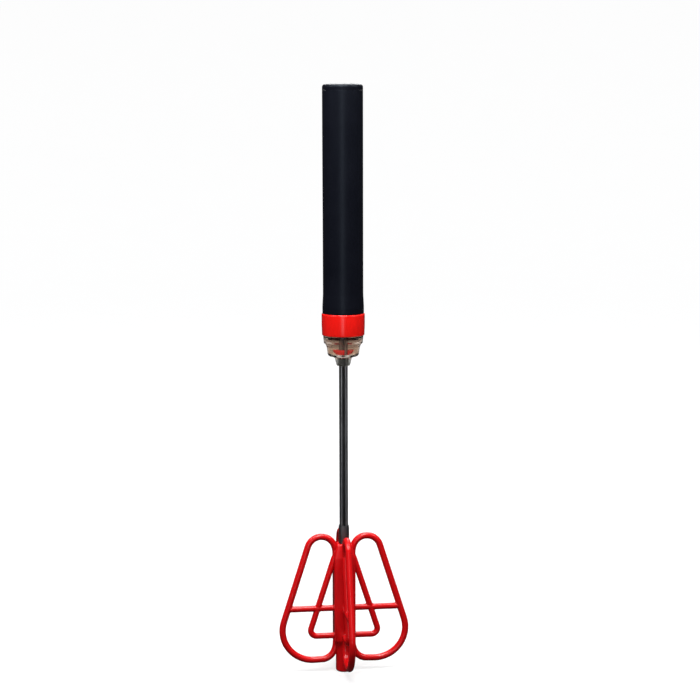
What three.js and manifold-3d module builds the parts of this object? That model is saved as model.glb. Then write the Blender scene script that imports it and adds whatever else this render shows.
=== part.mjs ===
// Hand push whisk. Pressing the handle down slides the shaft up inside it; two lugs on the shaft's
// follower run in helical grooves, so the four-lobed head spins, and a spring returns the stroke.
// Millimetres, +Z up. The origin is the centre of the foot's flat underside, with the shaft along +Z.

import * as THREE from 'three';
import { mergeVertices } from 'three/addons/utils/BufferGeometryUtils.js';
import Module from 'manifold-3d';

const wasm = await Module();
wasm.setup();

const GAP = 0.3;                     // clearance between pieces that meet
const ROUND = 32;                    // sides of the large turned pieces
const SMALL_ROUND = 24;              // sides of the small turned pieces
const QUARTER = Math.PI / 2;
const SLIVER = 0.003;                // thickness below which a cut's leftover is merged away

// Heights of the handle's joints
const HANDLE_TOP = 340;
const CAP_SEAM = 336.2;              // underside of the cap's rim
const COLLAR_TOP = 210;
const COLLAR_BOTTOM = 197.5;
const NOSE_TOP = 203.2;              // top of the nose's spigot, inside the collar
const NOSE_BOTTOM = 180;

// Radii of the handle
const GRIP_TOP_RADIUS = 11.55;
const GRIP_WAIST_RADIUS = 11.5;
const GRIP_FLARE_RADIUS = 11.85;
const GRIP_BORE = 9.5;
const GRIP_FLARE_HEIGHT = 4;         // heights above the grip's lower end
const GRIP_WAIST_START = 11;
const GRIP_WAIST_END = 50;
const GRIP_FULL_START = 105;
const SPIGOT_RADIUS = 10.4;
const COLLAR_RADIUS = 12.35;
const COLLAR_LIP_RADIUS = 12.1;
const COLLAR_EDGE = 0.6;
const CAP_FLAT_RADIUS = 6;
const CAP_EDGE = 1.6;
const CAP_DOME = 0.8;                // rise of the cap from its round edge to its flat centre
const BUSH = { bottom: 185.2, shoulder: 188.8, top: 189.6, bottomRadius: 3.85, topRadius: 6 };
const BUSH_FOOT = 0.6;               // height of the straight part below the bush's cone
const BUSH_SLIT = { width: 2, offset: 0.9 };

// The nose's steps, each a radius with a height above its bottom
const NOSE_OUTSIDE = [
  [3.75, 0], [4.45, 2.4], [4.7, 4], [5.4, 4.7], [7.9, 5.5], [8.9, 6.3], [9.4, 7.6], [9.5, 10.8],
  [9.8, 11.9], [10.7, 12.7], [11.2, 13.8],
];
const NOSE_INSIDE = [[9.2, 17], [10, 15.5], [10, 14.4], [8.6, 12.2], [8.5, 8], [7.6, 6.7]];
const NOSE_SHOULDER_RADIUS = 11.5;
const NOSE_SHELF = { radius: 8, height: 3, slope: 1.4 };   // bore of the rim that carries the bump ring

// Screw drive
const LEAD = 50;                     // travel for one turn of the head
const FOLLOWER_RADIUS = 5.9;
const LUG_RADIUS = 7.7;
const LUG_HALF_WIDTH = 1.7;
const FOLLOWER_HEIGHT = 12;
const SLEEVE_HEIGHT = 90;
const TWIST_STEP = 2.4;              // height of one facet row on a helical face
const BUMP_HEIGHT = 2;

// Return spring
const SPRING_RADIUS = 5.1;
const SPRING_WIRE_RADIUS = 0.5;
const SPRING_TURNS = 18;
const SPRING_STEPS_PER_TURN = 11;
const SPRING_SEAT_Z = 329;
const SPRING_SEAT_FLANGE = 2;
const SPRING_SEAT_BOSS = 8;
const BOSS_CHAMFER = 1;

// Shaft: four straight wires in a square bundle
const WIRE_RADIUS = 1.1;
const WIRE_OFFSET = 1.25;            // of each wire's centre from the shaft's axis, in X and in Y
const WIRE_BOTTOM = 31;
const WIRE_INSET = 0.4;              // of the wires' upper ends below the crimp's top
const SHAFT_CLEARANCE = 3.2;         // radius of the round holes that the bundle passes through
const FERRULE_HEIGHT = 10.3;
const FERRULE_WALL = 0.3;
const CRIMP_RADIUS = 4.15;
const CRIMP_HEIGHT = 5;
const WASHER_BORE = 4.5;
const WASHER_THICKNESS = 1;

// Head: square hub, round foot and four lobes of round rod
const HUB_HALF_WIDTH = 6.1;
const HUB_BOTTOM = 18.6;
const HUB_SHOULDER = 68.2;
const HUB_TOP = 76;
const HUB_TOP_HALF_WIDTH = 4.2;
const HUB_EDGE = 0.8;                // bevel of the hub's upright edges
const FOOT_RADIUS = 4.9;
const FOOT_EDGE = 1.3;
const FOOT_STEM_RADIUS = 2.4;
const FOOT_STEM_TOP = 27.5;
const LOBES = 4;
const ROD_RADIUS = 1.9;              // of the outer loop
const BOW_RADIUS = 1.75;
const CROSSBAR_RADIUS = 1.8;
const ROD_SIDES = 8;
const SPINE = { r: 4.4, radius: 1, bottom: 26, top: 60 };   // upright rod of a lobe, inside the hub
const SPINE_OVERLAP = 2;             // of the spine past the narrow ends of the legs
const LEG = 5.2;                     // distance from the axis at which the legs leave the loop
const LEG_END_RADIUS = 1.15;         // where the legs join the spine
const CROWN = { r: LEG + 8.1, z: 72.05, radius: 8.1 };
const BELLY = { r: 18.3, z: 24.8, radius: 17.8 };
const HEEL_RADIUS = 8.5;
const HEEL_Z = BELLY.z - BELLY.radius + HEEL_RADIUS;
const CROSSBAR_Z = 37.6;
const RUNG_Z = 21.2;
const BOW_TOP = 69;                  // height where the inner bow leaves the leg
const BOW_LEAN = 0.316;              // angle of the inner bow's side from upright, radians
const BOW_CORNER = 3.4;
const OVERCUT = 1;                   // how far a hole's cutter passes the face it opens on

// Heights of the screw drive, each piece resting on the one below
const BUMP_BOTTOM = NOSE_TOP + GAP;
const DRIVE_BOTTOM = BUMP_BOTTOM + BUMP_HEIGHT + GAP;      // underside of the sleeve and follower
const FOLLOWER_TOP = DRIVE_BOTTOM + FOLLOWER_HEIGHT;
const WASHER_BOTTOM = FOLLOWER_TOP + GAP;
const WASHER_TOP = WASHER_BOTTOM + WASHER_THICKNESS;
const CRIMP_TOP = WASHER_BOTTOM + CRIMP_HEIGHT;

// ---- helpers ------------------------------------------------------------------------------------

// The geometry's closed skin: positions only, shared vertices merged, no zero-area triangles.
function skin(geometry) {
  const bare = new THREE.BufferGeometry();
  bare.setAttribute('position', geometry.getAttribute('position'));
  if (geometry.index) bare.setIndex(geometry.index);
  const merged = mergeVertices(bare, 1e-4);
  const corners = merged.index.array;
  const kept = [];
  for (let i = 0; i < corners.length; i += 3) {
    const [a, b, c] = corners.slice(i, i + 3);
    if (a !== b && b !== c && c !== a) kept.push(a, b, c);
  }
  merged.setIndex(kept);
  return merged;
}

function toSolid(geometry) {
  const closed = skin(geometry);
  return new wasm.Manifold(new wasm.Mesh({
    numProp: 3,
    vertProperties: new Float32Array(closed.getAttribute('position').array),
    triVerts: new Uint32Array(closed.index.array),
  }));
}

function toGeometry(solid) {
  const mesh = solid.getMesh();
  const geometry = new THREE.BufferGeometry();
  geometry.setAttribute('position', new THREE.BufferAttribute(mesh.vertProperties, 3));
  geometry.setIndex(new THREE.BufferAttribute(mesh.triVerts, 1));
  return geometry;
}

// A turned piece: [radius, height] points, counter-clockwise in the half plane right of the axis.
function turned(profile, sides = ROUND) {
  const points = profile.map(([r, z]) => new THREE.Vector2(r, z));
  if (profile[0][0] > 0) points.push(points[0].clone());
  return skin(new THREE.LatheGeometry(points, sides).rotateX(QUARTER));
}

// Points of a round edge from one angle to another, in degrees, for use inside a turned profile.
function edge(r, z, radius, from, to, steps = 3) {
  const points = [];
  for (let i = 0; i <= steps; i += 1) {
    const angle = THREE.MathUtils.degToRad(from + (to - from) * i / steps);
    points.push([r + radius * Math.cos(angle), z + radius * Math.sin(angle)]);
  }
  return points;
}

function ring(inner, outer, bottom, top) {
  return turned([[inner, bottom], [outer, bottom], [outer, top], [inner, top]], SMALL_ROUND);
}

function rod(radius, bottom, top, sides = SMALL_ROUND) {
  return turned([[0, bottom], [radius, bottom], [radius, top], [0, top]], sides);
}

function polygon(radius, sides) {
  const corners = Array.from({ length: sides }, (_, i) => {
    const angle = 2 * Math.PI * i / sides;
    return new THREE.Vector2(radius * Math.cos(angle), radius * Math.sin(angle));
  });
  return new THREE.Shape(corners);
}

// A column of one section that rises through levels of { z, scale, twist, shift }.
function column(section, levels) {
  const last = levels.length - 1;
  const geometry = new THREE.ExtrudeGeometry(section, { depth: last, steps: last, bevelEnabled: false });
  const position = geometry.getAttribute('position');
  for (let i = 0; i < position.count; i += 1) {
    const { z, scale = 1, twist = 0, shift = 0 } = levels[Math.round(position.getZ(i))];
    const x = position.getX(i) * scale + shift;
    const y = position.getY(i) * scale;
    const cos = Math.cos(twist);
    const sin = Math.sin(twist);
    position.setXYZ(i, x * cos - y * sin, x * sin + y * cos, z);
  }
  return skin(geometry);
}

// A flat path in the plane of radius and height, stood up over the X axis.
class UprightCurve extends THREE.Curve {
  constructor(path) {
    super();
    this.path = path;
  }

  getPoint(t) {
    const point = this.path.getPointAt(t);
    return new THREE.Vector3(point.x, 0, point.y);
  }
}

class Helix extends THREE.Curve {
  constructor(radius, bottom, top, turns) {
    super();
    Object.assign(this, { radius, bottom, top, turns });
  }

  getPoint(t) {
    const angle = 2 * Math.PI * this.turns * t;
    const z = this.bottom + (this.top - this.bottom) * t;
    return new THREE.Vector3(this.radius * Math.cos(angle), this.radius * Math.sin(angle), z);
  }
}

function tube(curve, radius, steps, sides = ROD_SIDES) {
  const section = polygon(radius, sides);
  return skin(new THREE.ExtrudeGeometry(section, { steps, extrudePath: curve, bevelEnabled: false }));
}

// ---- materials ----------------------------------------------------------------------------------

const plastic = (color, roughness) => () => new THREE.MeshStandardMaterial({ color, roughness });
const steel = (color, roughness) => () =>
  new THREE.MeshStandardMaterial({ color, roughness, metalness: 1 });

const blackSatin = plastic(0x16171c, 0.42);
const redGloss = plastic(0xd8121a, 0.25);
const naturalNylon = plastic(0xd9d6cc, 0.5);
const rubber = plastic(0x202020, 0.8);
const darkSteel = steel(0x55565a, 0.38);
const springSteel = steel(0x9a9ca0, 0.3);
const smokedClear = () => new THREE.MeshStandardMaterial({
  color: 0x7b6f62, roughness: 0.2, transparent: true, opacity: 0.55,
});

const whisk = new THREE.Group();

function add(name, geometry, material) {
  const mesh = new THREE.Mesh(geometry, material());
  mesh.name = name;
  whisk.add(mesh);
  return mesh;
}

// ---- handle -------------------------------------------------------------------------------------

// Tube with a slight waist and a flared foot; its lower spigot sits in the collar.
function gripTube() {
  const bottom = COLLAR_TOP + GAP;
  const spigotBottom = NOSE_TOP + GAP;
  const top = CAP_SEAM - GAP;
  return turned([
    [GRIP_BORE, spigotBottom], [SPIGOT_RADIUS, spigotBottom], [SPIGOT_RADIUS, bottom],
    [GRIP_FLARE_RADIUS, bottom], [GRIP_FLARE_RADIUS, bottom + GRIP_FLARE_HEIGHT],
    [GRIP_WAIST_RADIUS, bottom + GRIP_WAIST_START], [GRIP_WAIST_RADIUS, bottom + GRIP_WAIST_END],
    [GRIP_TOP_RADIUS, bottom + GRIP_FULL_START], [GRIP_TOP_RADIUS, top], [GRIP_BORE, top],
  ]);
}

// Domed cap with a flat centre; its plug fits the tube's bore.
function endCap() {
  const plugRadius = GRIP_BORE - GAP;
  const plugBottom = SPRING_SEAT_Z + SPRING_SEAT_FLANGE + GAP;
  const rim = GRIP_TOP_RADIUS - CAP_EDGE;
  return turned([
    [0, plugBottom], [plugRadius, plugBottom], [plugRadius, CAP_SEAM], [GRIP_TOP_RADIUS, CAP_SEAM],
    ...edge(rim, HANDLE_TOP - CAP_DOME - CAP_EDGE, CAP_EDGE, 0, 75), [CAP_FLAT_RADIUS, HANDLE_TOP],
    [0, HANDLE_TOP],
  ]);
}

// Flanged seat with a boss that centres the spring's upper end.
function upperSpringSeat() {
  const bossRadius = SPRING_RADIUS - SPRING_WIRE_RADIUS - GAP;
  const bossBottom = SPRING_SEAT_Z - SPRING_SEAT_BOSS;
  const top = SPRING_SEAT_Z + SPRING_SEAT_FLANGE;
  return turned([
    [0, bossBottom], [bossRadius - BOSS_CHAMFER, bossBottom], [bossRadius, bossBottom + BOSS_CHAMFER],
    [bossRadius, SPRING_SEAT_Z], [GRIP_BORE - GAP, SPRING_SEAT_Z], [GRIP_BORE - GAP, top], [0, top],
  ], SMALL_ROUND);
}

// Red ring over the meeting spigots of the tube and the nose.
function collarRing() {
  const bore = SPIGOT_RADIUS + GAP;
  return turned([
    [bore, COLLAR_BOTTOM],
    ...edge(COLLAR_LIP_RADIUS - COLLAR_EDGE, COLLAR_BOTTOM + COLLAR_EDGE, COLLAR_EDGE, -90, 0),
    ...edge(COLLAR_RADIUS - COLLAR_EDGE, COLLAR_TOP - COLLAR_EDGE, COLLAR_EDGE, 0, 90),
    [bore, COLLAR_TOP],
  ]);
}

// Thin stepped cup that closes the handle and guides the shaft, from its spout up to its rim.
function noseCone() {
  const above = ([r, height]) => [r, NOSE_BOTTOM + height];
  const shoulder = COLLAR_BOTTOM - GAP;
  const shelf = NOSE_TOP - NOSE_SHELF.height;
  const pocketRadius = BUSH.bottomRadius + GAP;
  const pocketBottom = BUSH.bottom - GAP;
  return turned([
    [SHAFT_CLEARANCE, NOSE_BOTTOM], ...NOSE_OUTSIDE.map(above), [NOSE_SHOULDER_RADIUS, shoulder],
    [SPIGOT_RADIUS, shoulder], [SPIGOT_RADIUS, NOSE_TOP], [NOSE_SHELF.radius, NOSE_TOP],
    [NOSE_SHELF.radius, shelf], [NOSE_INSIDE[0][0], shelf - NOSE_SHELF.slope],
    ...NOSE_INSIDE.map(above), [pocketRadius, BUSH.bottom + BUSH_FOOT], [pocketRadius, pocketBottom],
    [SHAFT_CLEARANCE, pocketBottom],
  ]);
}

// Split conical bush that bears on the wires.
function guideBush() {
  const { bottom, shoulder, top, bottomRadius, topRadius } = BUSH;
  const cone = turned([
    [SHAFT_CLEARANCE, bottom], [bottomRadius, bottom], [bottomRadius, bottom + BUSH_FOOT],
    [topRadius, shoulder], [topRadius, top], [SHAFT_CLEARANCE, top],
  ], SMALL_ROUND);
  const height = 2 * (top - bottom);
  const slit = new THREE.BoxGeometry(BUSH_SLIT.width, 2 * topRadius, height);
  slit.translate(BUSH_SLIT.offset, -topRadius, (bottom + top) / 2);
  return toGeometry(toSolid(cone).subtract(toSolid(slit)));
}

function bumpRing() {
  return ring(SHAFT_CLEARANCE + GAP, GRIP_BORE - GAP, BUMP_BOTTOM, BUMP_BOTTOM + BUMP_HEIGHT);
}

// Section of the follower: a disc with two opposite lugs, grown all round by extra.
function driveSection(extra) {
  const radius = FOLLOWER_RADIUS + extra;
  const half = LUG_HALF_WIDTH + extra;
  const tip = LUG_RADIUS + extra;
  const root = Math.asin(half / radius);
  const section = new THREE.Shape();
  section.moveTo(Math.sqrt(tip ** 2 - half ** 2), -half);
  section.lineTo(tip, 0);
  section.lineTo(Math.sqrt(tip ** 2 - half ** 2), half);
  section.absarc(0, 0, radius, root, Math.PI - root, false);
  section.lineTo(-Math.sqrt(tip ** 2 - half ** 2), half);
  section.lineTo(-tip, 0);
  section.lineTo(-Math.sqrt(tip ** 2 - half ** 2), -half);
  section.absarc(0, 0, radius, Math.PI + root, 2 * Math.PI - root, false);
  section.closePath();
  return new THREE.Shape(section.getPoints(5));
}

// Levels of a right-handed screw; equal heights are turned alike, whatever the column's own ends.
function screwLevels(bottom, top) {
  const rows = Math.round((top - bottom) / TWIST_STEP);
  return Array.from({ length: rows + 1 }, (_, i) => {
    const z = bottom + (top - bottom) * i / rows;
    return { z, twist: 2 * Math.PI * (z - DRIVE_BOTTOM) / LEAD };
  });
}

// Liner fixed in the grip, cut by the follower's own screw with running clearance.
function rifledSleeve() {
  const top = DRIVE_BOTTOM + SLEEVE_HEIGHT;
  const liner = rod(GRIP_BORE - GAP, DRIVE_BOTTOM, top, ROUND);
  const cut = column(driveSection(GAP), screwLevels(DRIVE_BOTTOM - TWIST_STEP, top + TWIST_STEP));
  return toGeometry(toSolid(liner).subtract(toSolid(cut)));
}

// Two-start nut moulded on the wires; its lugs run in the sleeve's grooves.
function follower() {
  const nut = column(driveSection(0), screwLevels(DRIVE_BOTTOM, FOLLOWER_TOP));
  const hole = rod(SHAFT_CLEARANCE, DRIVE_BOTTOM - OVERCUT, FOLLOWER_TOP + OVERCUT);
  return toGeometry(toSolid(nut).subtract(toSolid(hole)));
}

function returnSpring() {
  const bottom = WASHER_TOP + GAP + SPRING_WIRE_RADIUS;
  const top = SPRING_SEAT_Z - GAP - SPRING_WIRE_RADIUS;
  const helix = new Helix(SPRING_RADIUS, bottom, top, SPRING_TURNS);
  return tube(helix, SPRING_WIRE_RADIUS, SPRING_TURNS * SPRING_STEPS_PER_TURN, 6);
}

// ---- head ---------------------------------------------------------------------------------------

// Angle at which the outer loop's straight side leaves the crown and meets the belly.
function sideAngle() {
  const run = BELLY.r - CROWN.r;
  const drop = BELLY.z - CROWN.z;
  return Math.atan2(drop, run) + Math.acos((CROWN.radius - BELLY.radius) / Math.hypot(run, drop));
}

// Centre line of the outer loop: over the crown, down the side, round the belly, up the heel.
function loopPath() {
  const tangent = sideAngle();
  const heelR = LEG + HEEL_RADIUS;
  const path = new THREE.Path();
  path.absarc(CROWN.r, CROWN.z, CROWN.radius, Math.PI, tangent, true);
  path.absarc(BELLY.r, BELLY.z, BELLY.radius, tangent, -QUARTER, true);
  path.absarc(heelR, HEEL_Z, HEEL_RADIUS, -QUARTER, -Math.PI, true);
  return path;
}

// Centre line of the inner bow: down its leaning side, round the corner and back along the rung.
function bowPath() {
  const cornerZ = RUNG_Z + BOW_CORNER;
  const reach = (Math.sin(BOW_LEAN) * (BOW_TOP - cornerZ) - BOW_CORNER) / Math.cos(BOW_LEAN);
  const corner = new THREE.EllipseCurve(
    LEG + reach, cornerZ, BOW_CORNER, BOW_CORNER, BOW_LEAN, -QUARTER, true,
  );
  const start = corner.getPoint(0);
  const path = new THREE.Path([new THREE.Vector2(LEG, BOW_TOP), start]);
  path.curves.push(corner);
  path.curves.push(new THREE.LineCurve(corner.getPoint(1), new THREE.Vector2(SPINE.r, RUNG_Z)));
  return path;
}

// One lobe over the X axis; extra thickens every rod, for cutting the hollows that hold the lobe.
function lobe(extra = 0) {
  const straight = (r0, z0, r1, z1, radius) => {
    const path = new THREE.Path([new THREE.Vector2(r0, z0), new THREE.Vector2(r1, z1)]);
    return tube(new UprightCurve(path), radius + extra, 1);
  };
  const lean = sideAngle();
  const side = BELLY.r + (BELLY.radius - (CROSSBAR_Z - BELLY.z) * Math.sin(lean)) / Math.cos(lean);
  const section = polygon(ROD_RADIUS + extra, ROD_SIDES);
  const narrow = { scale: (LEG_END_RADIUS + extra) / (ROD_RADIUS + extra), shift: SPINE.r };
  const spineBottom = SPINE.bottom - SPINE_OVERLAP;
  const spineTop = SPINE.top + SPINE_OVERLAP;
  return [
    tube(new UprightCurve(bowPath()), BOW_RADIUS + extra, 24),
    straight(SPINE.r, spineBottom, SPINE.r, spineTop, SPINE.radius),
    straight(SPINE.r, CROSSBAR_Z, side, CROSSBAR_Z, CROSSBAR_RADIUS),
    column(section, [{ z: HEEL_Z, shift: LEG }, { z: SPINE.bottom, ...narrow }]),
    column(section, [{ z: SPINE.top, ...narrow }, { z: CROWN.z, shift: LEG }]),
  ].reduce((solid, piece) => solid.add(toSolid(piece)),
    toSolid(tube(new UprightCurve(loopPath()), ROD_RADIUS + extra, 46)));
}

const turnedLobe = (index, extra) => lobe(extra).rotate([0, 0, 360 * index / LOBES]);

function withoutLobes(solid) {
  for (let i = 0; i < LOBES; i += 1) solid = solid.subtract(turnedLobe(i, GAP));
  return toGeometry(solid.simplify(SLIVER));
}

function roundedSquare(halfWidth, corner, steps) {
  const section = new THREE.Shape();
  for (let i = 0; i < 4; i += 1) {
    const turn = i * QUARTER;
    const centre = new THREE.Vector2(halfWidth - corner, halfWidth - corner);
    centre.rotateAround(new THREE.Vector2(), turn);
    section.absarc(centre.x, centre.y, corner, turn, turn + QUARTER, false);
  }
  return new THREE.Shape(section.getPoints(steps));
}

// Section round the four wires, grown all round by extra.
const bundle = (extra) =>
  roundedSquare(WIRE_OFFSET + WIRE_RADIUS + extra, WIRE_RADIUS + extra, 4);

function hub() {
  const block = column(roundedSquare(HUB_HALF_WIDTH, HUB_EDGE, 2), [
    { z: HUB_BOTTOM }, { z: HUB_SHOULDER }, { z: HUB_TOP, scale: HUB_TOP_HALF_WIDTH / HUB_HALF_WIDTH },
  ]);
  const shaftHole = column(bundle(GAP), [{ z: WIRE_BOTTOM - GAP }, { z: HUB_TOP + OVERCUT }]);
  const footHole = rod(FOOT_STEM_RADIUS + GAP, HUB_BOTTOM - OVERCUT, FOOT_STEM_TOP + GAP);
  return withoutLobes(toSolid(block).subtract(toSolid(shaftHole)).subtract(toSolid(footHole)));
}

// Round foot below the hub, notched where the lobes' heels pass it, on a stem in the hub's socket.
function footPlug() {
  const top = HUB_BOTTOM - GAP;
  return withoutLobes(toSolid(turned([
    [0, 0], ...edge(FOOT_RADIUS - FOOT_EDGE, FOOT_EDGE, FOOT_EDGE, -90, 0, 4),
    [FOOT_RADIUS, top], [FOOT_STEM_RADIUS, top], [FOOT_STEM_RADIUS, FOOT_STEM_TOP], [0, FOOT_STEM_TOP],
  ], SMALL_ROUND)));
}

// Thin steel sleeve pressed square round the wires above the hub.
function shaftFerrule() {
  const bottom = HUB_TOP + GAP;
  const top = bottom + FERRULE_HEIGHT;
  const outside = column(bundle(GAP + FERRULE_WALL), [{ z: bottom }, { z: top }]);
  const bore = column(bundle(GAP), [{ z: bottom - OVERCUT }, { z: top + OVERCUT }]);
  return toGeometry(toSolid(outside).subtract(toSolid(bore)));
}

// ---- assembly -----------------------------------------------------------------------------------

add('grip_tube', gripTube(), blackSatin);
add('end_cap', endCap(), blackSatin);
add('upper_spring_seat', upperSpringSeat(), naturalNylon);
add('rifled_sleeve', rifledSleeve(), naturalNylon);
add('bump_ring', bumpRing(), rubber);
add('collar_ring', collarRing(), redGloss);
add('nose_cone', noseCone(), smokedClear);
add('guide_bush', guideBush(), redGloss);
add('return_spring', returnSpring(), springSteel);

add('thrust_washer', ring(WASHER_BORE, FOLLOWER_RADIUS, WASHER_BOTTOM, WASHER_TOP), springSteel);

add('follower', follower(), naturalNylon);
add('wire_crimp', ring(SHAFT_CLEARANCE, CRIMP_RADIUS, WASHER_BOTTOM, CRIMP_TOP), darkSteel);
for (let i = 0; i < 4; i += 1) {
  const corner = QUARTER * (i + 0.5);
  const distance = WIRE_OFFSET * Math.SQRT2;
  const length = rod(WIRE_RADIUS, WIRE_BOTTOM, CRIMP_TOP - WIRE_INSET, 12);
  const wire = add(`shaft_wire_${i + 1}`, length, darkSteel);
  wire.position.set(distance * Math.cos(corner), distance * Math.sin(corner), 0);
}
add('shaft_ferrule', shaftFerrule(), darkSteel);
add('hub', hub(), redGloss);
add('foot_plug', footPlug(), redGloss);
for (let i = 0; i < LOBES; i += 1) add(`lobe_${i + 1}`, toGeometry(turnedLobe(i, 0)), redGloss);

export default whisk;
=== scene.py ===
"""Looks of the push whisk: fine pieces, node materials, floor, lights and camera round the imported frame."""

import math

import bmesh
import bpy
import numpy as np
from mathutils import Matrix, Vector


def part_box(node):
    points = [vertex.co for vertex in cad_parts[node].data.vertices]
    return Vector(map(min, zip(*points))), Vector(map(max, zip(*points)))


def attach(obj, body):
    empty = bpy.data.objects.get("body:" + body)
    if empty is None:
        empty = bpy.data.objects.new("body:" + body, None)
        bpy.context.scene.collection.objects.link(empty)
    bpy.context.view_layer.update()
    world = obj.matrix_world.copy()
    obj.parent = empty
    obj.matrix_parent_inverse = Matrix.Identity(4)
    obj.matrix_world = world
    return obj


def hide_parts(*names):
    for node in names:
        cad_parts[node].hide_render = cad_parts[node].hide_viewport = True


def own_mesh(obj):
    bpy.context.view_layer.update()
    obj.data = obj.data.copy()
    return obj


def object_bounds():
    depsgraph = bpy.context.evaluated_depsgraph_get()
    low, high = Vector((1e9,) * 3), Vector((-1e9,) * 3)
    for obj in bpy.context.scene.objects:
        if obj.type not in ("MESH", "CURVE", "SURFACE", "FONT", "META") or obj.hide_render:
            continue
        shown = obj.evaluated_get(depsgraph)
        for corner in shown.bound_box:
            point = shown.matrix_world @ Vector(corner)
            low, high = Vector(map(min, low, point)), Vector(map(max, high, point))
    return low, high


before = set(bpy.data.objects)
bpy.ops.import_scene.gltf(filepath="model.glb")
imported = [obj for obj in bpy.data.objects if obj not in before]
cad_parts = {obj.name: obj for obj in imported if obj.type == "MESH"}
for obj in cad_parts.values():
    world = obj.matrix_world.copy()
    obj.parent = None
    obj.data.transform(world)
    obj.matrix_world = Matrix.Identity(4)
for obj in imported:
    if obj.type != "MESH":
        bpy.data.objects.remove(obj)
cad_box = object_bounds()
scene = bpy.context.scene

MM = 0.001                   # the pieces are worked out in millimetres and stored in metres
SEGMENTS = 96                # sides of a turned piece
ARC_STEP = math.radians(9)   # turn from one point to the next along a rounded edge
SLIVER = 0.001 * MM          # length below which a cut's leftover edge is merged away
CREASE = 35                  # degrees by which an edge of a turned piece turns to stay crisp
END_DOME = 0.35              # height of a rod's rounded end, as a share of its radius
END_ANGLE = 0.8              # angle of the ring of points part of the way up that end, radians
SEAM = 0.12                  # width of a closed joint between two pieces


# ---- sizes from the frame -----------------------------------------------------------------------

class Span:
    """Lowest height, highest height and outer radius of a CAD node, in millimetres."""

    def __init__(self, node):
        low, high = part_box(node)
        self.bottom, self.top = low.z / MM, high.z / MM
        self.radius = high.x / MM


grip, cap, collar, nose = (Span(n) for n in ("grip_tube", "end_cap", "collar_ring", "nose_cone"))
bush, bump, sleeve, nut = (Span(n) for n in ("guide_bush", "bump_ring", "rifled_sleeve", "follower"))
washer, crimp, seat, spring = (
    Span(n) for n in ("thrust_washer", "wire_crimp", "upper_spring_seat", "return_spring"))
ferrule, block, foot, rods = (Span(n) for n in ("shaft_ferrule", "hub", "foot_plug", "lobe_1"))
LEAD = 50.0                  # travel for one turn of the head


# ---- mesh helpers -------------------------------------------------------------------------------

def link(name, mesh):
    made = bpy.data.objects.new(name, mesh)
    scene.collection.objects.link(made)
    return made


def mesh_object(name, points, faces):
    """A smooth-shaded object from points in millimetres, with its faces in the order given."""
    mesh = bpy.data.meshes.new(name)
    mesh.from_pydata([[x * MM for x in p] for p in points], [], faces)
    mesh.validate()
    mesh.shade_smooth()
    return link(name, mesh)


def applied(piece, *modifiers):
    """Adds the modifiers, given as (type, settings), and puts their result in the piece's own mesh."""
    for kind, settings in modifiers:
        modifier = piece.modifiers.new(kind.lower(), kind)
        for key, value in settings.items():
            setattr(modifier, key, value)
    bpy.context.view_layer.update()
    evaluated = piece.evaluated_get(bpy.context.evaluated_depsgraph_get())
    mesh = bpy.data.meshes.new_from_object(evaluated)
    piece.modifiers.clear()
    old, piece.data = piece.data, mesh
    mesh.name = old.name
    bpy.data.meshes.remove(old)
    mesh.shade_smooth()
    return piece


def cleaned(piece):
    """Merges the points that cuts leave less than a micrometre apart, with their sliver faces."""
    made = bmesh.new()
    made.from_mesh(piece.data)
    bmesh.ops.remove_doubles(made, verts=made.verts, dist=SLIVER)
    bmesh.ops.dissolve_degenerate(made, edges=made.edges, dist=SLIVER)
    made.to_mesh(piece.data)
    made.free()
    return piece


def sharpen(piece, degrees):
    """Keeps edges that turn by more than this angle crisp under the smooth shading."""
    piece.data.set_sharp_from_angle(angle=math.radians(degrees))
    return piece


def rounded(corners, closed=True):
    """The outline through (r, z) or (r, z, fillet) corners, with an arc in place of each filleted one."""
    out = []
    for i, corner in enumerate(corners):
        here = Vector(corner[:2])
        fillet = corner[2] if len(corner) > 2 else 0.0
        at_end = not closed and i in (0, len(corners) - 1)
        if not fillet or at_end:
            out.append(tuple(here))
            continue
        before = (Vector(corners[i - 1][:2]) - here).normalized()
        after = (Vector(corners[(i + 1) % len(corners)][:2]) - here).normalized()
        half = before.angle(after) / 2
        reach = fillet / math.tan(half)
        centre = here + (before + after).normalized() * (fillet / math.sin(half))
        start, end = here + before * reach - centre, here + after * reach - centre
        turn = start.angle_signed(end)
        steps = max(2, math.ceil(abs(turn) / ARC_STEP))
        for k in range(steps + 1):
            arm = start.copy()
            arm.rotate(Matrix.Rotation(-turn * k / steps, 2))
            out.append(tuple(centre + arm))
    return out


def turned(name, outline, segments=SEGMENTS):
    """A piece turned about the axis from a closed (r, z) outline, counter-clockwise right of the axis."""
    points, faces, rows = [], [], []
    for r, z in outline:
        if r < 1e-6:
            rows.append([len(points)] * segments)
            points.append((0.0, 0.0, z))
            continue
        rows.append(list(range(len(points), len(points) + segments)))
        for k in range(segments):
            angle = 2 * math.pi * k / segments
            points.append((r * math.cos(angle), r * math.sin(angle), z))
    for i, row in enumerate(rows):
        above = rows[(i + 1) % len(rows)]
        for k in range(segments):
            n = (k + 1) % segments
            face = [row[k], row[n], above[n], above[k]]
            face = [v for j, v in enumerate(face) if v != face[j - 1]]
            if len(face) > 2:
                faces.append(face)
    return sharpen(mesh_object(name, points, faces), CREASE)


def wall(rows, sides, start=0):
    """Faces of a closed wall through rows of equally many points, the first of them at start."""
    faces = []
    for i in range(rows - 1):
        for k in range(sides):
            a, b = start + i * sides + k, start + i * sides + (k + 1) % sides
            faces.append((a, b, b + sides, a + sides))
    return faces


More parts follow.
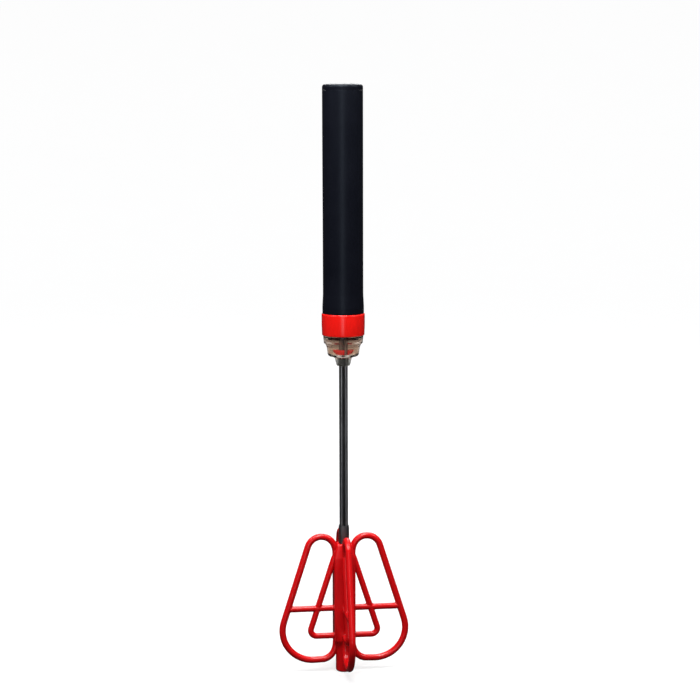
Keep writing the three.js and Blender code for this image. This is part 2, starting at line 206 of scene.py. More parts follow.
def sweep(path, radius, sides=20, end_radius=None):
    """Points and faces of a round rod along a path of points, with slightly rounded ends.

    With an end_radius the rod narrows or widens evenly to it from point to point.
    """
    path = [Vector(p) for p in path]
    end_radius = radius if end_radius is None else end_radius
    widths = [radius + (end_radius - radius) * k / (len(path) - 1) for k in range(len(path))]
    tangents = [(path[min(i + 1, len(path) - 1)] - path[max(i - 1, 0)]).normalized()
                for i in range(len(path))]
    side = tangents[0].orthogonal().normalized()
    points = []
    dome = radius * END_DOME
    stations = [(path[0] + tangents[0] * dome * (1 - math.sin(a)), tangents[0],
                 radius - dome * (1 - math.cos(a))) for a in (0.0, END_ANGLE)]
    stations += list(zip(path[1:-1], tangents[1:-1], widths[1:-1]))
    stations += [(path[-1] - tangents[-1] * dome * (1 - math.sin(a)), tangents[-1],
                  end_radius - dome * (1 - math.cos(a))) for a in (END_ANGLE, 0.0)]
    stations[0] = (path[0], tangents[0], radius - dome)
    stations[-1] = (path[-1], tangents[-1], end_radius - dome)
    last = tangents[0]
    for centre, tangent, r in stations:
        side.rotate(last.rotation_difference(tangent))
        side = (side - tangent * side.dot(tangent)).normalized()
        last = tangent
        other = tangent.cross(side)
        for k in range(sides):
            angle = 2 * math.pi * k / sides
            points.append(centre + (side * math.cos(angle) + other * math.sin(angle)) * r)
    count = len(stations)
    faces = wall(count, sides)
    faces.append(tuple(reversed(range(sides))))
    faces.append(tuple(range((count - 1) * sides, count * sides)))
    return points, faces


def joined(name, parts):
    """One object from several (points, faces) bodies."""
    points, faces = [], []
    for more_points, more_faces in parts:
        start = len(points)
        points += [tuple(p) for p in more_points]
        faces += [[v + start for v in face] for face in more_faces]
    return mesh_object(name, points, faces)


def sleeve_between(name, outer, inner, heights):
    """A tube whose outer and inner outlines are functions of height that give equally many points."""
    points, faces = [], []
    for z in heights:
        points += [(x, y, z) for x, y in outer(z)]
    start = len(points)
    for z in heights:
        points += [(x, y, z) for x, y in inner(z)]
    sides = start // len(heights)
    for i in range(len(heights) - 1):
        for k in range(sides):
            a, b = i * sides + k, i * sides + (k + 1) % sides
            faces.append((a, b, b + sides, a + sides))
            faces.append((start + b, start + a, start + a + sides, start + b + sides))
    for k in range(sides):
        n = (k + 1) % sides
        faces.append((n, k, start + k, start + n))
        top = (len(heights) - 1) * sides
        faces.append((top + k, top + n, start + top + n, start + top + k))
    return sharpen(mesh_object(name, points, faces), CREASE)


def arc(centre, radius, start, end, step=2.0):
    """Points along an arc, at most step millimetres apart, angles in radians."""
    count = max(3, math.ceil(abs(end - start) * radius / step))
    return [(centre[0] + radius * math.cos(start + (end - start) * k / count),
             centre[1] + radius * math.sin(start + (end - start) * k / count)) for k in range(count + 1)]


# ---- materials ----------------------------------------------------------------------------------

class Finish:
    """A Principled material whose patterns are placed in the piece's own coordinates, in metres."""

    def __init__(self, name, **sockets):
        self.material = bpy.data.materials.new(name)
        self.material.use_nodes = True
        self.tree = self.material.node_tree
        self.shader = self.tree.nodes["Principled BSDF"]
        for key, value in sockets.items():
            self.shader.inputs[key.replace("_", " ")].default_value = value
        self.place = self.tree.nodes.new("ShaderNodeTexCoord").outputs["Object"]

    def node(self, kind, inputs=(), **settings):
        made = self.tree.nodes.new("ShaderNode" + kind)
        for key, value in settings.items():
            setattr(made, key, value)
        for key, value in dict(inputs).items():
            if isinstance(value, bpy.types.NodeSocket):
                self.tree.links.new(value, made.inputs[key])
            else:
                made.inputs[key].default_value = value
        return made

    def noise(self, size_mm, detail=3.0, stretch=(1, 1, 1), roughness=0.5):
        """Noise whose features are about size_mm across, drawn out along an axis by its stretch."""
        scale = [1 / (size_mm * MM * s) for s in stretch]
        place = self.node("Mapping", {"Vector": self.place, "Scale": scale})
        return self.node("TexNoise", {
            "Vector": place.outputs[0], "Scale": 1.0, "Detail": detail, "Roughness": roughness,
        }).outputs["Fac"]

    def between(self, factor, low, high, start=0.3, end=0.7):
        """A number that follows factor from low to high as it goes from start to end."""
        return self.node("MapRange", {
            "Value": factor, "From Min": start, "From Max": end, "To Min": low, "To Max": high,
        }).outputs["Result"]

    def blend(self, factor, first, second, kind="MIX"):
        mix = self.node("Mix", {"Factor": factor}, data_type="RGBA", blend_type=kind)
        for socket, colour in zip((mix.inputs[6], mix.inputs[7]), (first, second)):
            if isinstance(colour, bpy.types.NodeSocket):
                self.tree.links.new(colour, socket)
            else:
                socket.default_value = (*colour, 1.0)
        return mix.outputs[2]

    def set(self, socket, value):
        self.tree.links.new(value, self.shader.inputs[socket])

    def bump(self, height, depth_mm, below=None):
        """Relief of depth_mm where height goes from 0 to 1, on top of the relief below it."""
        inputs = {"Height": height, "Distance": depth_mm * MM, "Strength": 1.0}
        if below is not None:
            inputs["Normal"] = below
        normal = self.node("Bump", inputs).outputs["Normal"]
        self.set("Normal", normal)
        return normal


def black_satin(name, specular):
    """Satin black moulding: fine spark texture, faint clouds in its colour, slight handling marks."""
    f = Finish(name, Specular_IOR_Level=specular, Specular_Tint=(0.72, 0.86, 1.0, 1.0), IOR=1.5)
    cloud = f.noise(14, detail=4)
    f.set("Base Color", f.blend(f.between(cloud, 0, 1), (0.0026, 0.0029, 0.0056), (0.004, 0.0044, 0.0078)))
    rub = f.noise(5, detail=5, stretch=(1, 1, 6))
    f.set("Roughness", f.between(rub, 0.35, 0.41))
    f.bump(f.noise(0.22, detail=2), 0.018)
    return f.material


def red_gloss(name, parting=False, strength=1.0, warmth=0.0):
    """Glossy red moulding with a faint ripple; parting adds the mould's line in the piece's XZ plane."""
    f = Finish(name, Specular_IOR_Level=0.4, IOR=1.5)
    flow = f.noise(12, detail=2, stretch=(1, 1, 2))
    f.set("Base Color", f.blend(
        f.between(flow, 0, 1), (0.735 * strength, 0.004 + warmth, 0.006),
        (0.765 * strength, 0.005 + warmth, 0.007)))
    f.set("Roughness", f.between(f.noise(5, detail=3), 0.17, 0.23))
    ripple = f.bump(f.noise(5, detail=1), 0.006)
    if parting:
        across = f.node("SeparateXYZ", {"Vector": f.place}).outputs["Y"]
        off = f.node("Math", {0: across}, operation="ABSOLUTE").outputs[0]
        ridge = f.between(off, 1.0, 0.0, 0.02 * MM, 0.11 * MM)
        f.bump(ridge, 0.05, ripple)
    return f.material


def smoked_clear():
    """See-through smoky brown moulding; lamps shine into it through a tinted clear shader."""
    f = Finish("smoked_clear_plastic", Transmission_Weight=1.0, IOR=1.46)
    smoke = f.noise(6, detail=2, stretch=(1, 1, 3))
    tint = f.blend(f.between(smoke, 0, 1), (0.54, 0.425, 0.345), (0.62, 0.5, 0.41))
    height = f.node("SeparateXYZ", {"Vector": f.place}).outputs["Z"]
    neck = f.between(height, 0.0, 1.0, (nose.bottom + 10.5) * MM, (nose.bottom + 13) * MM)
    tint = f.blend(neck, tint, (0.42, 0.33, 0.275))
    spout = f.between(height, 1.0, 0.0, (nose.bottom + 3.5) * MM, (nose.bottom + 6) * MM)
    tint = f.blend(spout, tint, (0.3, 0.3, 0.285))
    f.set("Base Color", tint)
    f.set("Roughness", f.between(f.noise(3, detail=3), 0.05, 0.12))
    f.bump(f.noise(2.2, detail=1), 0.01)
    clear = f.node("BsdfTransparent", {"Color": (0.88, 0.85, 0.8, 1.0)}).outputs[0]
    lamp = f.node("LightPath").outputs["Is Shadow Ray"]
    mix = f.node("MixShader", {0: lamp, 1: f.shader.outputs[0], 2: clear})
    f.tree.links.new(mix.outputs[0], f.tree.nodes["Material Output"].inputs["Surface"])
    return f.material


def steel(name, dark, light, roughness, streak):
    """Drawn steel: streaks along the wire in its colour and its roughness."""
    f = Finish(name, Metallic=1.0)
    line = f.noise(0.35, detail=3, stretch=(1, 1, streak))
    patch = f.noise(4, detail=3, stretch=(1, 1, 5))
    colour = f.blend(f.between(line, 0, 1), dark, light)
    f.set("Base Color", f.blend(f.between(patch, 0, 0.35), colour, dark))
    f.set("Roughness", f.between(line, roughness - 0.05, roughness + 0.08))
    f.bump(line, 0.006)
    return f.material


def nylon():
    """Unpainted natural nylon."""
    f = Finish("natural_nylon", Subsurface_Weight=0.15, Subsurface_Scale=0.6 * MM)
    f.set("Base Color", f.blend(f.between(f.noise(5), 0, 1), (0.68, 0.655, 0.585), (0.74, 0.72, 0.66)))
    f.set("Roughness", f.between(f.noise(1.5), 0.42, 0.55))
    f.bump(f.noise(0.8, detail=2), 0.012)
    return f.material


def rubber():
    """Matt black rubber."""
    f = Finish("black_rubber", Specular_IOR_Level=0.3)
    soot = f.between(f.noise(1.2), 0, 1)
    f.set("Base Color", f.blend(soot, (0.014, 0.014, 0.015), (0.028, 0.028, 0.029)))
    f.set("Roughness", f.between(f.noise(0.6), 0.72, 0.9))
    f.bump(f.noise(0.3, detail=3), 0.02)
    return f.material


FINISHES = {
    "black_satin_plastic": black_satin("black_satin_plastic", 0.19),
    "red_gloss_plastic": red_gloss("red_gloss_plastic", strength=0.88),
    "smoked_clear_plastic": smoked_clear(),
    "natural_nylon": nylon(),
    "black_rubber": rubber(),
    "dark_steel": steel("dark_steel", (0.2, 0.2, 0.205), (0.46, 0.465, 0.475), 0.3, 60),
    "spring_steel": steel("spring_steel", (0.3, 0.3, 0.31), (0.52, 0.52, 0.53), 0.26, 3),
}
CAP_FINISH = black_satin("black_satin_cap", 0.14)
FERRULE_FINISH = steel("dark_steel_pressed", (0.085, 0.085, 0.088), (0.16, 0.16, 0.163), 0.42, 20)
LOBE_FINISH = red_gloss("red_gloss_rod", parting=True, strength=0.88)
# The bush's copy of the red plastic has painted light: its red is raised to strength 1.3, standing in for the
# light that the tinted cup round it holds back; warmth is a slight orange tint.
BUSH_PAINTED_LIGHT_FINISH = red_gloss("red_gloss_bush_painted_light", strength=1.3, warmth=0.002)
# The collar's copy of the same red plastic as the head has painted light: its red is raised to strength 1.08
# against the head's 0.88, standing in for the stronger light on the collar; warmth is a slight orange tint.
COLLAR_PAINTED_LIGHT_FINISH = red_gloss("red_gloss_collar_painted_light", strength=1.08, warmth=0.005)


def fit(piece, node, body, slot, finish=None):
    """Dresses a piece, and puts it on its body in place of its CAD node."""
    piece.data.materials.clear()
    piece.data.materials.append(finish or FINISHES[slot])
    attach(piece, body)
    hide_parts(node)
    return piece


# ---- handle -------------------------------------------------------------------------------------

BORE = 9.5                          # radius of the grip tube's bore
SPIGOT = 10.4                       # radius of the spigots inside the collar
FLARE = grip.radius
CAP_SEAM = cap.top - 3.8
SEAT_FLANGE = 2.0                   # thickness of the spring seat's flange
HAIRLINE = 0.03                     # width of the joint between the grip and its cap


def grip_tube():
    """Tube with a slight waist and a flared foot, whose spigot sits in the collar."""
    bottom = collar.top + SEAM
    top = CAP_SEAM - HAIRLINE
    waist, upper = FLARE - 0.35, cap.radius
    return turned("grip", rounded([
        (BORE, grip.bottom, 0.2), (SPIGOT, grip.bottom, 0.3), (SPIGOT, bottom), (FLARE, bottom, 0.35),
        (FLARE, bottom + 4, 5), (waist, bottom + 11, 12), (waist, bottom + 50, 60),
        (upper, bottom + 105, 60), (upper, top, 0.06), (BORE, top, 0.2),
    ]), 128)


def end_cap():
    """Domed cap with a flat centre and a plug that fits the tube's bore."""
    plug = BORE - 0.1
    shoulder = cap.top - 0.62
    return turned("cap", rounded([
        (0, cap.bottom), (plug, cap.bottom, 0.4), (plug, CAP_SEAM), (cap.radius, CAP_SEAM, 0.06),
        (cap.radius, shoulder, 1.7), (6.6, cap.top, 3), (0, cap.top),
    ]), 128)


def collar_ring():
    """Red ring over the meeting spigots, slightly narrower at its lower lip."""
    lip = collar.radius - 0.25
    bore = SPIGOT + SEAM
    return turned("collar", rounded([
        (bore, collar.bottom, 0.2), (lip, collar.bottom, 0.5), (collar.radius, collar.bottom + 6),
        (collar.radius, collar.top, 0.55), (bore, collar.top, 0.2),
    ]), 128)


def nose_cup():
    """Thin stepped cup of see-through plastic, from its spout up to the spigot inside the collar."""
    low = nose.bottom
    shelf = collar.bottom - SEAM
    rim = nose.top - 3
    pocket = bush.bottom - SEAM
    return turned("nose", rounded([
        (3.2, low, 0.15), (3.75, low, 0.2), (4.45, low + 2.4, 2), (4.7, low + 4, 0.4),
        (5.4, low + 4.8, 0.6), (8.8, low + 5.7, 1.7), (9.5, low + 10.8, 1.5), (10.1, low + 12.2, 0.8),
        (11.1, low + 13.1, 0.9), (nose.radius, shelf, 0.25), (SPIGOT - 0.05, shelf, 0.1),
        (SPIGOT - 0.05, nose.top, 0.2), (8, nose.top, 0.2), (8, rim, 0.3), (9.2, rim - 1.4, 0.4),
        (9.2, low + 17, 0.5), (10, low + 15.5, 0.5), (10, low + 14.4, 0.8), (8.6, low + 12.2, 0.8),
        (8.4, low + 6.8, 1.1), (4.15, bush.bottom + 0.6, 0.2), (4.15, pocket, 0.15), (3.2, pocket, 0.1),
    ]), 128)


def guide_bush():
    """Split cone that bears on the wires, with the slit at its front."""
    cone = turned("bush", rounded([
        (3.05, bush.bottom, 0.15), (3.85, bush.bottom, 0.25), (3.85, bush.bottom + 0.6),
        (bush.radius, bush.top - 0.8, 0.3), (bush.radius, bush.top, 0.25), (3.05, bush.top, 0.2),
    ]), 72)
    width, centre, reach = 2.0, 0.9, 9.0
    low, high = bush.bottom - 2, bush.top + 2
    xs, ys, zs = (centre - width / 2, centre + width / 2), (-reach, 0.0), (low, high)
    corners = [(x, y, z) for x in xs for y in ys for z in zs]
    slit = mesh_object("slit", corners, [
        (0, 1, 3, 2), (4, 6, 7, 5), (0, 4, 5, 1), (2, 3, 7, 6), (0, 2, 6, 4), (1, 5, 7, 3)])
    applied(cone, ("BOOLEAN", {"operation": "DIFFERENCE", "object": slit, "solver": "EXACT"}))
    bpy.data.objects.remove(slit)
    return sharpen(cone, CREASE)


def ring(name, inner, outer, bottom, top, edge=0.25):
    """Flat ring with rounded edges."""
    return turned(name, rounded([
        (inner, bottom, edge), (outer, bottom, edge), (outer, top, edge), (inner, top, edge)]), 72)


def spring_seat():
    """Flanged seat with a boss that centres the spring's upper end."""
    boss = spring.radius - 1.0
    flange = seat.top - SEAT_FLANGE
    return turned("spring_seat", rounded([
        (0, seat.bottom), (boss - 0.9, seat.bottom, 0.3), (boss - 0.2, seat.bottom + 1.4, 0.5),
        (boss - 0.2, flange, 0.3), (seat.radius, flange, 0.25), (seat.radius, seat.top, 0.25),
        (0, seat.top),
    ]), 72)


def drive_outline(disc, half_width, tip):
    """(angle, radius) pairs round a disc with two lugs; the lugs' corners have a point each."""
    root, edge = math.asin(half_width / disc), math.asin(half_width / tip)
    quarter = [(0.0, tip), (edge * 0.6, tip), (edge, tip - 0.05)]
    quarter += [(edge + (root - edge) * k / 4, half_width / math.sin(edge + (root - edge) * k / 4))
                for k in (1, 2, 3, 4)]
    quarter += [(root + (math.pi / 2 - root) * k / 14, disc) for k in range(1, 15)]
    half = quarter + [(math.pi - a, r) for a, r in reversed(quarter[:-1])]
    return half[:-1] + [(a + math.pi, r) for a, r in half[:-1]]


def screw(outline, start):
    """The outline as a function of height, turning with the coupling of the head to the stroke."""
    per_mm = 2 * math.pi / LEAD

    def at(z):
        twist = (z - start) * per_mm
        return [(r * math.cos(a + twist), r * math.sin(a + twist)) for a, r in outline]
    return at


def heights(bottom, top, step):
    """Evenly spaced heights from bottom to top, at most step apart."""
    count = math.ceil((top - bottom) / step)
    return [bottom + (top - bottom) * k / count for k in range(count + 1)]


def drive_sleeve():
    """Liner of the grip with the two grooves in which the nut's lugs run."""
    cut = drive_outline(6.2, 2.0, 8.0)
    wall = [(a, sleeve.radius) for a, _ in cut]
    return sleeve_between("drive_sleeve", screw(wall, sleeve.bottom), screw(cut, sleeve.bottom),
                          heights(sleeve.bottom, sleeve.top, 1.5))


def drive_nut():
    """Disc with two lugs, twisted like the sleeve's grooves."""
    body = drive_outline(5.9, 1.7, 7.7)
    hole = [(a, 3.15) for a, _ in body]
    return sleeve_between("drive_nut", screw(body, nut.bottom), screw(hole, nut.bottom),
                          heights(nut.bottom, nut.top, 1.0))


def return_spring():
    """Compression spring with one closed coil at each end."""
    wire, turns, per_turn = 0.5, 18.0, 28
    blur = 9                        # points over which the closed coils run into the open ones
    radius = spring.radius - wire
    bottom, top = spring.bottom + wire, spring.top - wire
    closed = 2 * wire + 0.05
    steps = int(turns * per_turn)
    path = []
    for k in range(steps + 1):
        t = turns * k / steps
        if t < 1:
            z = bottom + closed * t
        elif t > turns - 1:
            z = top - closed * (turns - t)
        else:
            s = (t - 1) / (turns - 2)
            z = bottom + closed + (top - bottom - 2 * closed) * s
        angle = 2 * math.pi * t
        path.append((radius * math.cos(angle), radius * math.sin(angle), z))
    padded = np.pad(np.array([z for _, _, z in path]), blur // 2, mode="edge")
    smooth = np.convolve(padded, np.ones(blur) / blur, mode="valid")
    path = [(x, y, z) for (x, y, _), z in zip(path, smooth)]
    return joined("spring", [sweep(path, wire, 10)])


fit(grip_tube(), "grip_tube", "handle", "black_satin_plastic")
fit(end_cap(), "end_cap", "handle", "black_satin_plastic", CAP_FINISH)
fit(collar_ring(), "collar_ring", "handle", "red_gloss_plastic", COLLAR_PAINTED_LIGHT_FINISH)
fit(nose_cup(), "nose_cone", "handle", "smoked_clear_plastic")
fit(guide_bush(), "guide_bush", "handle", "red_gloss_plastic", BUSH_PAINTED_LIGHT_FINISH)
fit(ring("bump_stop", 3.5, bump.radius, bump.bottom, bump.top, 0.4), "bump_ring", "handle",
    "black_rubber")
fit(spring_seat(), "upper_spring_seat", "handle", "natural_nylon")
fit(drive_sleeve(), "rifled_sleeve", "handle", "natural_nylon")
coil = fit(return_spring(), "return_spring", "handle", "spring_steel")
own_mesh(coil)

# ---- shaft --------------------------------------------------------------------------------------

BUNDLE_CENTRE = 1.25                # of each wire from the shaft's axis, in X and in Y


def rounded_square(half_width, corner, steps=6):
    """Outline of a square with rounded corners, counter-clockwise."""
    outline = []
    for i in range(4):
        cx = (half_width - corner) * (1 if i in (0, 3) else -1)
        cy = (half_width - corner) * (1 if i in (0, 1) else -1)
        for k in range(steps + 1):
            angle = math.pi / 2 * (i + k / steps)
            outline.append((cx + corner * math.cos(angle), cy + corner * math.sin(angle)))
    return outline


def pressed_sleeve():
    """Thin steel sleeve pressed square round the four wires, drawn in a little towards its top."""
    low, high, roll, drawn = ferrule.bottom, ferrule.top, 0.12, 1.6

    def outer(z):
        inset = roll if z == low else 0.22 * max(0.0, 1 - (high - z) / drawn)
        half_width = ferrule.radius - inset
        return rounded_square(half_width, half_width - BUNDLE_CENTRE)

    def inner(z):
        half_width = ferrule.radius - 0.4
        return rounded_square(half_width, half_width - BUNDLE_CENTRE)

    return sleeve_between("ferrule", outer, inner, [low, low + roll, high - drawn, high - drawn / 2, high])


fit(ring("washer", 4.5, washer.radius, washer.bottom, washer.top, 0.2), "thrust_washer", "carrier",
    "spring_steel")
fit(drive_nut(), "follower", "whisk", "natural_nylon")
fit(ring("crimp", 3.05, crimp.radius, crimp.bottom, crimp.top, 0.3), "wire_crimp", "whisk", "dark_steel")
for number in range(1, 5):
    low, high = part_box(f"shaft_wire_{number}")
    middle = (low + high) / (2 * MM)
    path = [(middle.x, middle.y, z) for z in heights(low.z / MM, high.z / MM, 3)]
    radius = (high.x - low.x) / (2 * MM)
    wire = joined(f"wire_{number}", [sweep(path, radius, 28)])
    fit(sharpen(wire, 40), f"shaft_wire_{number}", "whisk", "dark_steel")
fit(pressed_sleeve(), "shaft_ferrule", "whisk", "dark_steel", FERRULE_FINISH)

# ---- head ---------------------------------------------------------------------------------------

ROD, SPINE_ROD, BOW_ROD, CROSS_ROD = 1.9, 1.0, 1.75, 1.8
SPINE = 4.4                         # distance from the axis of each lobe's upright rod, in the hub
SPINE_LOW, SPINE_HIGH = 26.0, 60.0  # heights where the legs join the spine
LEG, LEG_END_ROD = 5.2, 1.15        # the legs leave the loop here and narrow to the spine
CROWN = (LEG + 8.1, 72.05, 8.1)     # centre and radius of the loop's top
BELLY_RADIUS = 17.8
BELLY = (rods.radius - ROD - BELLY_RADIUS, rods.bottom + ROD + BELLY_RADIUS, BELLY_RADIUS)
HEEL = 8.5                          # radius of the loop's turn up to the hub
CROSS_Z = 37.6                      # height of the crossbar
RUNG_Z, BOW_TOP = 21.2, 69.0        # heights of the inner bow's rung and of its upper end
BOW_LEAN, BOW_CORNER = 0.316, 3.4   # its side's angle from upright in radians, its corner's radius
STEM = 2.4                          # radius of the foot's stem
SHAFT_BORE = (2.55, 1.3, 31)        # half width, corner and lowest height of the hub's square bore
LOBE_COUNT = 4
VOXEL = 0.25                        # size at which a lobe's rods are joined into one skin


def lobe_rods(extra=0.0, sides=20):
    """The rods of one lobe over the X axis, each (points, faces); extra thickens them."""
    run, drop = BELLY[0] - CROWN[0], BELLY[1] - CROWN[1]
    tangent = math.atan2(drop, run) + math.acos((CROWN[2] - BELLY[2]) / math.hypot(run, drop))
    heel = (LEG + HEEL, BELLY[1] - BELLY[2] + HEEL)
    quarter = math.pi / 2
    loop = arc(CROWN, CROWN[2], math.pi, tangent) + arc(BELLY, BELLY[2], tangent, -quarter)
    loop += arc(heel, HEEL, -quarter, -math.pi)[1:]
    corner_z = RUNG_Z + BOW_CORNER
    reach = (math.sin(BOW_LEAN) * (BOW_TOP - corner_z) - BOW_CORNER) / math.cos(BOW_LEAN)
    corner = arc((LEG + reach, corner_z), BOW_CORNER, BOW_LEAN, -quarter, 0.8)
    bow = [(LEG, BOW_TOP), *corner, (SPINE, RUNG_Z)]
    spine = [(SPINE, SPINE_LOW - 2), (SPINE, SPINE_HIGH + 2)]
    legs = [[(LEG, CROWN[1]), (SPINE, SPINE_HIGH)], [(LEG, heel[1]), (SPINE, SPINE_LOW)]]
    side = BELLY[0] + (BELLY[2] - (CROSS_Z - BELLY[1]) * math.sin(tangent)) / math.cos(tangent)
    cross = [(SPINE, CROSS_Z), (side, CROSS_Z)]

    def upright(path, radius, end_radius=None):
        fine = []
        for (r0, z0), (r1, z1) in zip(path, path[1:]):
            parts = max(1, math.ceil(math.hypot(r1 - r0, z1 - z0) / 2.5))
            fine += [(r0 + (r1 - r0) * k / parts, 0.0, z0 + (z1 - z0) * k / parts) for k in range(parts)]
        fine.append((path[-1][0], 0.0, path[-1][1]))
        return sweep(fine, radius + extra, sides, end_radius and end_radius + extra)

    rods_and_radii = ((loop, ROD), (spine, SPINE_ROD), (bow, BOW_ROD), (cross, CROSS_ROD))
    rods_made = [upright(path, radius) for path, radius in rods_and_radii]
    return rods_made + [upright(leg, ROD, LEG_END_ROD) for leg in legs]


def melted(piece, voxel, rounds):
    """Joins the piece's overlapping bodies into one skin, with small moulded fillets where they meet."""
    return applied(
        piece,
        ("REMESH", {"mode": "VOXEL", "voxel_size": voxel * MM, "use_smooth_shade": True}),
        ("SMOOTH", {"factor": 0.5, "iterations": rounds}),
    )


def without_lobes(piece):
    """Cuts the grooves and holes in which the four lobes sit."""
    cutters = []
    for part in range(LOBE_COUNT):
        for points, faces in lobe_rods(extra=0.06, sides=16):
            rotation = Matrix.Rotation(part * math.pi / 2, 3, "Z")
            cutter = mesh_object("cutter", [rotation @ Vector(p) for p in points], faces)
            cutters.append(cutter)
            applied(piece, ("BOOLEAN", {"operation": "DIFFERENCE", "object": cutter, "solver": "EXACT"}))
    for cutter in cutters:
        bpy.data.objects.remove(cutter)
    return cleaned(piece)


def prism(outline, bottom, top):
    """Points and faces of an upright block of one outline."""
    sides = len(outline)
    points = [(x, y, z) for z in (bottom, top) for x, y in outline]
    faces = [(k, (k + 1) % sides, (k + 1) % sides + sides, k + sides) for k in range(sides)]
    return points, faces + [tuple(reversed(range(sides))), tuple(range(sides, 2 * sides))]


def hub():
    """Square post with a tapered top, hollowed for the lobes' spines and bored for the shaft."""
    half, shoulder = block.radius, 68.2
    top_half, bevel = 4.2, 0.9
    profile = [(half - 0.6, block.bottom), (half - 0.18, block.bottom + 0.18), (half, block.bottom + 0.6)]
    profile += [(half, z) for z in (30, 45, 60)] + rounded(
        [(half, 62), (half, shoulder, 3), (top_half, block.top, 0.7), (top_half - 1, block.top)],
        closed=False)
    points = []
    for width, z in profile:
        points += [(x, y, z) for x, y in rounded_square(width, min(bevel, width * 0.3))]
    sides = len(points) // len(profile)
    faces = wall(len(profile), sides)
    faces.append(tuple(reversed(range(sides))))
    faces.append(tuple(range(len(points) - sides, len(points))))
    post = mesh_object("hub_post", points, faces)
    socket = sweep([(0, 0, z) for z in (block.bottom - 2, 22, foot.top + 0.1)], STEM + 0.05, 40)
    half_bore, corner, bore_bottom = SHAFT_BORE
    square = prism(rounded_square(half_bore, corner), bore_bottom, block.top + 2)
    for points, faces in (square, socket):
        bore = mesh_object("bore", points, faces)
        applied(post, ("BOOLEAN", {"operation": "DIFFERENCE", "object": bore, "solver": "EXACT"}))
        bpy.data.objects.remove(bore)
    without_lobes(post)
    return post


def foot_plug():
    """Round foot below the hub, on a stem in the hub's socket."""
    top = block.bottom - SEAM
    plug = turned("foot", rounded([
        (0, foot.bottom), (foot.radius, foot.bottom, 1.35), (foot.radius, top, 0.2), (STEM, top, 0.1),
        (STEM, foot.top, 0.3), (0, foot.top)]), 72)
    return without_lobes(plug)


fit(sharpen(hub(), 30), "hub", "whisk", "red_gloss_plastic")
fit(sharpen(foot_plug(), 30), "foot_plug", "whisk", "red_gloss_plastic")
first = melted(joined("lobe", lobe_rods(extra=0.03)), VOXEL, 5)
lobe_mesh = first.data
bpy.data.objects.remove(first)
for number in range(1, LOBE_COUNT + 1):
    lobe = link(f"lobe_rods_{number}", lobe_mesh)
    lobe.rotation_euler.z = (number - 1) * math.pi / 2
    fit(lobe, f"lobe_{number}", "whisk", "red_gloss_plastic", LOBE_FINISH)

# ---- floor and light ----------------------------------------------------------------------------


def backdrop():
    """Round pale sweep: a floor that curves up into a wall on every side."""
    floor, bend, height, segments = 2.2, 1.2, 3.2, 96
    outline = [(0.0, 0.0), (0.5, 0.0), (1.2, 0.0)]
    outline += [(floor + bend * math.sin(a), bend * (1 - math.cos(a)))
                for a in (math.radians(7.5 * k) for k in range(13))]
    outline.append((floor + bend, height))
    points, faces, rows = [(0, 0, 0)], [], [[0] * segments]
    for r, z in outline[1:]:
        rows.append(list(range(len(points), len(points) + segments)))
        points += [(r * math.cos(2 * math.pi * k / segments), r * math.sin(2 * math.pi * k / segments), z)
                   for k in range(segments)]
    for row, above in zip(rows, rows[1:]):
        for k in range(segments):
            n = (k + 1) % segments
            face = [row[k], row[n], above[n], above[k]]
            faces.append([v for j, v in enumerate(face) if v != face[j - 1]])
    mesh = bpy.data.meshes.new("backdrop")
    mesh.from_pydata(points, [], faces)
    mesh.shade_smooth()
    screen = link("backdrop", mesh)
    paper = Finish("pale_paper", Roughness=0.9, Specular_IOR_Level=0.1)
    paper.set("Base Color", paper.blend(
        paper.between(paper.noise(60), 0, 1), (0.33, 0.33, 0.33), (0.35, 0.35, 0.35)))
    paper.shader.inputs["Emission Color"].default_value = (1, 1, 1, 1)
    out = paper.node("VectorMath", {0: paper.place}, operation="LENGTH").outputs["Value"]
    near, far = 0.1, 1.3            # distances from the axis, in metres, over which the glow rises
    paper.set("Emission Strength", paper.between(out, 0.62, 0.93, near, far))
    mesh.materials.append(paper.material)
    for kind in ("diffuse", "glossy", "shadow"):
        setattr(screen, "visible_" + kind, False)


def softbox(name, azimuth, elevation, distance, width, height, power, colour=(1, 1, 1)):
    """Area lamp aimed at the middle of the object; azimuth 0 is the front, as for the camera."""
    a, e = math.radians(azimuth), math.radians(elevation)
    away = Vector((math.sin(a) * math.cos(e), -math.cos(a) * math.cos(e), math.sin(e)))
    data = bpy.data.lights.new(name, "AREA")
    data.shape, data.size, data.size_y = "RECTANGLE", width, height
    data.energy, data.color = power, colour
    lamp = bpy.data.objects.new(name, data)
    scene.collection.objects.link(lamp)
    centre = (cad_box[0] + cad_box[1]) / 2
    lamp.location = centre + away * distance
    lamp.rotation_mode = "QUATERNION"
    lamp.rotation_quaternion = (-away).to_track_quat("-Z", "Y")
    lamp.visible_camera = False


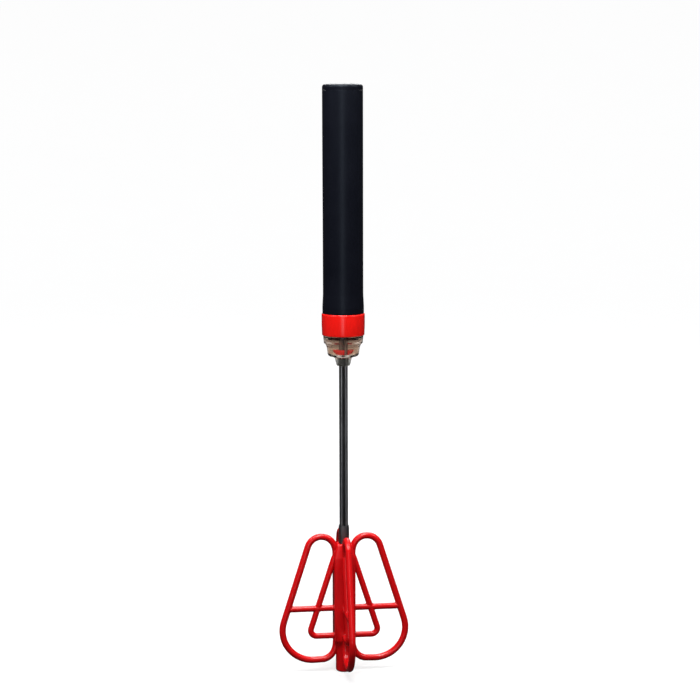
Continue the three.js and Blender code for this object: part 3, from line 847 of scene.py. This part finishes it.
# name, azimuth, elevation, distance, width, height, power and colour
LAMPS = (
    ("key", -12, 62, 0.6, 0.35, 0.35, 5.6, (1.0, 0.99, 0.97)),
    ("left", -80, 50, 0.7, 0.3, 0.4, 2.3, (0.94, 0.97, 1.0)),
    ("right", 70, 50, 0.7, 0.3, 0.4, 2.3),
    ("back", 168, 45, 1.0, 0.5, 0.7, 8.0),
    ("fill", -10, 6, 1.3, 0.32, 0.9, 2.2, (0.93, 0.96, 1.0)),
)
SKY_LOW, SKY_HIGH = 0.035, 0.2      # brightness of the world at the horizon and high up


def studio():
    """A dim even world that brightens upwards, and the soft lamps."""
    world = bpy.data.worlds.new("studio")
    scene.world = world
    world.use_nodes = True
    nodes, links = world.node_tree.nodes, world.node_tree.links
    background = nodes["Background"]
    split = nodes.new("ShaderNodeSeparateXYZ")
    links.new(nodes.new("ShaderNodeTexCoord").outputs["Generated"], split.inputs[0])
    rise = nodes.new("ShaderNodeMapRange")
    levels = {"From Min": 0.0, "From Max": 0.9, "To Min": SKY_LOW, "To Max": SKY_HIGH}
    for key, value in levels.items():
        rise.inputs[key].default_value = value
    links.new(split.outputs["Z"], rise.inputs["Value"])
    links.new(rise.outputs["Result"], background.inputs["Strength"])
    background.inputs["Color"].default_value = (0.95, 0.97, 1.0, 1.0)
    for lamp in LAMPS:
        softbox(*lamp)


def camera():
    """The view from a little left of the front and slightly above, with a slight roll."""
    lens, distance, height = 99.77, 1.1, 0.335
    azimuth, tilt, aside, roll = (math.radians(x) for x in (-7.5, 7.57, -0.2, -0.15))
    data = bpy.data.cameras.new("camera")
    data.lens, data.sensor_width = lens, 36.0
    data.clip_start, data.clip_end = 0.01, 50.0
    view = bpy.data.objects.new("camera", data)
    scene.collection.objects.link(view)
    turn = (Matrix.Rotation(azimuth + aside, 4, "Z") @ Matrix.Rotation(math.pi / 2 - tilt, 4, "X")
            @ Matrix.Rotation(roll, 4, "Z"))
    place = (distance * math.sin(azimuth), -distance * math.cos(azimuth), height)
    view.matrix_world = Matrix.Translation(place) @ turn
    scene.camera = view


backdrop()
studio()
camera()
scene.view_settings.view_transform = "Standard"
